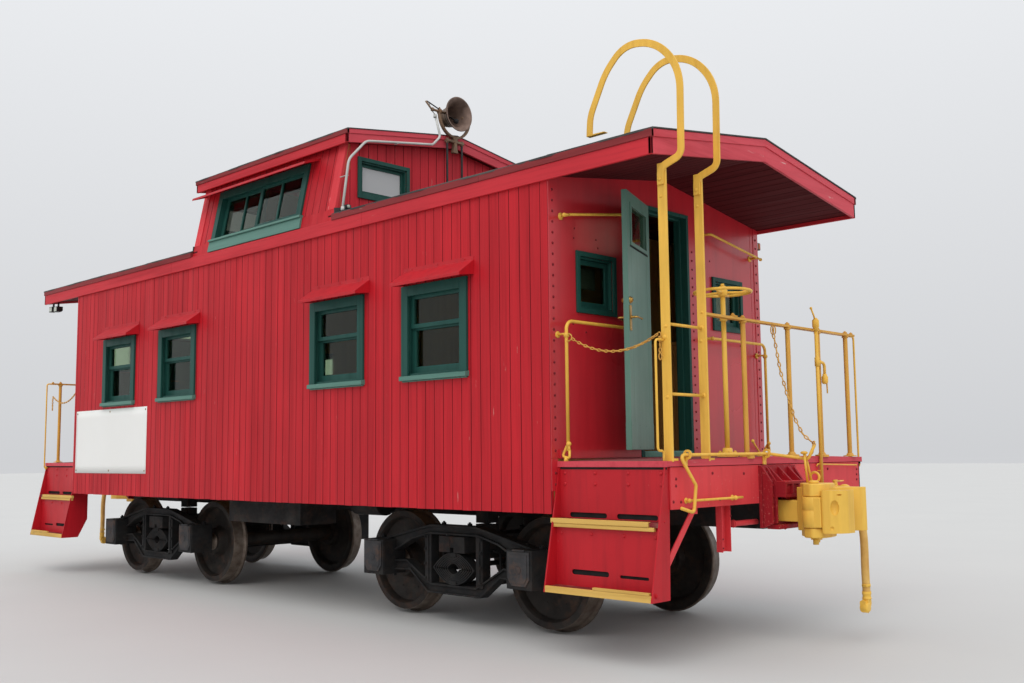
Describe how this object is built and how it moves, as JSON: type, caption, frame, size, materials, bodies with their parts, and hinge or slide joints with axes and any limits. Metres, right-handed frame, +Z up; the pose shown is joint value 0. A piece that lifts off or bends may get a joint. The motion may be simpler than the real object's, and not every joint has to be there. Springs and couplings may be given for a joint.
{
  "type": "railway caboose",
  "caption": "Wooden-sided caboose with a cupola, end platforms, ladders and steps, on sprung trucks that swivel, with rolling wheelsets and hinged end doors.",
  "frame": {"origin": "middle of the car, on the plane the wheel flanges stand on", "axes": "+X towards the end with the open door, -Y towards the side with the sign panel, +Z up"},
  "size_m": [10.536, 3.0486, 4.7028],
  "materials": {
    "red_paint_steel": "semi-gloss, weathered",
    "red_paint_wood": "painted tongue and groove, weathered",
    "yellow_paint": "gloss, chipped",
    "green_paint": "painted, semi-gloss",
    "glass": "window glass",
    "roofing": "black roofing felt",
    "deck_wood": "worn painted planks",
    "floor_wood": "worn boards",
    "truck_steel": "dull, dusty",
    "wheel_steel": "dull, rusty tread",
    "bell_bronze": "old bronze",
    "stand_iron": "rusty casting",
    "conduit_white": "grey-white pipe",
    "lamp_black": "black housing",
    "sign_white": "blank white panel",
    "hose_yellow": "painted hose",
    "brass": "lock plates and handles"
  },
  "bodies": {
    "carbody": {"underframe": "truck_steel", "floor": "floor_wood", "platform_decks": "deck_wood", "end_sills": "red_paint_steel", "side_wall_left": "red_paint_wood", "side_wall_right": "red_paint_wood", "end_wall_front": "red_paint_steel", "end_wall_rear": "red_paint_steel", "main_roof": "red_paint_wood", "roof_fascia": "red_paint_wood", "roof_covering": "roofing", "cupola_side_walls": "red_paint_wood", "cupola_end_walls": "red_paint_wood", "cupola_roof": "red_paint_wood", "corner_locker": "floor_wood", "window_frames": "green_paint", "cupola_window_frames": "green_paint", "window_glass": "glass", "awnings": "red_paint_steel", "door_frames": "green_paint", "step_wells": "red_paint_steel", "ladder_front": "yellow_paint", "ladder_rear": "yellow_paint", "end_railings": "yellow_paint", "handrails": "yellow_paint", "hand_brakes": "yellow_paint", "valve_pipes": "yellow_paint", "draft_castings": "red_paint_steel", "couplers": "yellow_paint", "uncoupling_levers": "yellow_paint", "angle_cocks": "yellow_paint", "air_hose_front": "hose_yellow", "air_hose_rear": "hose_yellow", "hose_coupling_front": "hose_yellow", "hose_coupling_rear": "hose_yellow", "bell": "bell_bronze", "bell_stand": "stand_iron", "conduit": "conduit_white", "floodlights": "lamp_black", "sign_panel": "sign_white", "brake_gear": "truck_steel", "tool_box": "truck_steel"},
    "front_door": {"door_front": "green_paint", "door_front_glass": "glass", "door_front_hardware": "brass"},
    "rear_door": {"door_rear": "green_paint", "door_rear_glass": "glass", "door_rear_hardware": "brass"},
    "front_truck": {"truck_side_frames_front": "truck_steel", "truck_bolster_front": "truck_steel", "truck_springs_front": "truck_steel", "brake_beams_front": "truck_steel"},
    "rear_truck": {"truck_side_frames_rear": "truck_steel", "truck_bolster_rear": "truck_steel", "truck_springs_rear": "truck_steel", "brake_beams_rear": "truck_steel"},
    "wheelset_1": {"wheelset_1": "wheel_steel"},
    "wheelset_2": {"wheelset_2": "wheel_steel"},
    "wheelset_3": {"wheelset_3": "wheel_steel"},
    "wheelset_4": {"wheelset_4": "wheel_steel"}
  },
  "joints": [
    {"name": "front_truck_swivel", "type": "hinge", "parent": "carbody", "child": "front_truck", "pos_m": [2.39, 0, 0.705], "axis": [0, 0, 1], "range_deg": [-6, 6]},
    {"name": "rear_truck_swivel", "type": "hinge", "parent": "carbody", "child": "rear_truck", "pos_m": [-2.39, 0, 0.705], "axis": [0, 0, 1], "range_deg": [-6, 6]},
    {"name": "front_door_swing", "type": "hinge", "parent": "carbody", "child": "front_door", "pos_m": [3.804, -0.356, 2.25], "axis": [0, 0, 1], "range_deg": [0, 158]},
    {"name": "rear_door_swing", "type": "hinge", "parent": "carbody", "child": "rear_door", "pos_m": [-3.804, 0.356, 2.25], "axis": [0, 0, 1], "range_deg": [-158, 0]},
    {"name": "wheelset_1_roll", "type": "hinge", "parent": "front_truck", "child": "wheelset_1", "pos_m": [3.228, 0, 0.445], "axis": [0, 1, 0], "continuous": true},
    {"name": "wheelset_2_roll", "type": "hinge", "parent": "front_truck", "child": "wheelset_2", "pos_m": [1.552, 0, 0.445], "axis": [0, 1, 0], "continuous": true},
    {"name": "wheelset_3_roll", "type": "hinge", "parent": "rear_truck", "child": "wheelset_3", "pos_m": [-1.552, 0, 0.445], "axis": [0, 1, 0], "continuous": true},
    {"name": "wheelset_4_roll", "type": "hinge", "parent": "rear_truck", "child": "wheelset_4", "pos_m": [-3.228, 0, 0.445], "axis": [0, 1, 0], "continuous": true}
  ]
}
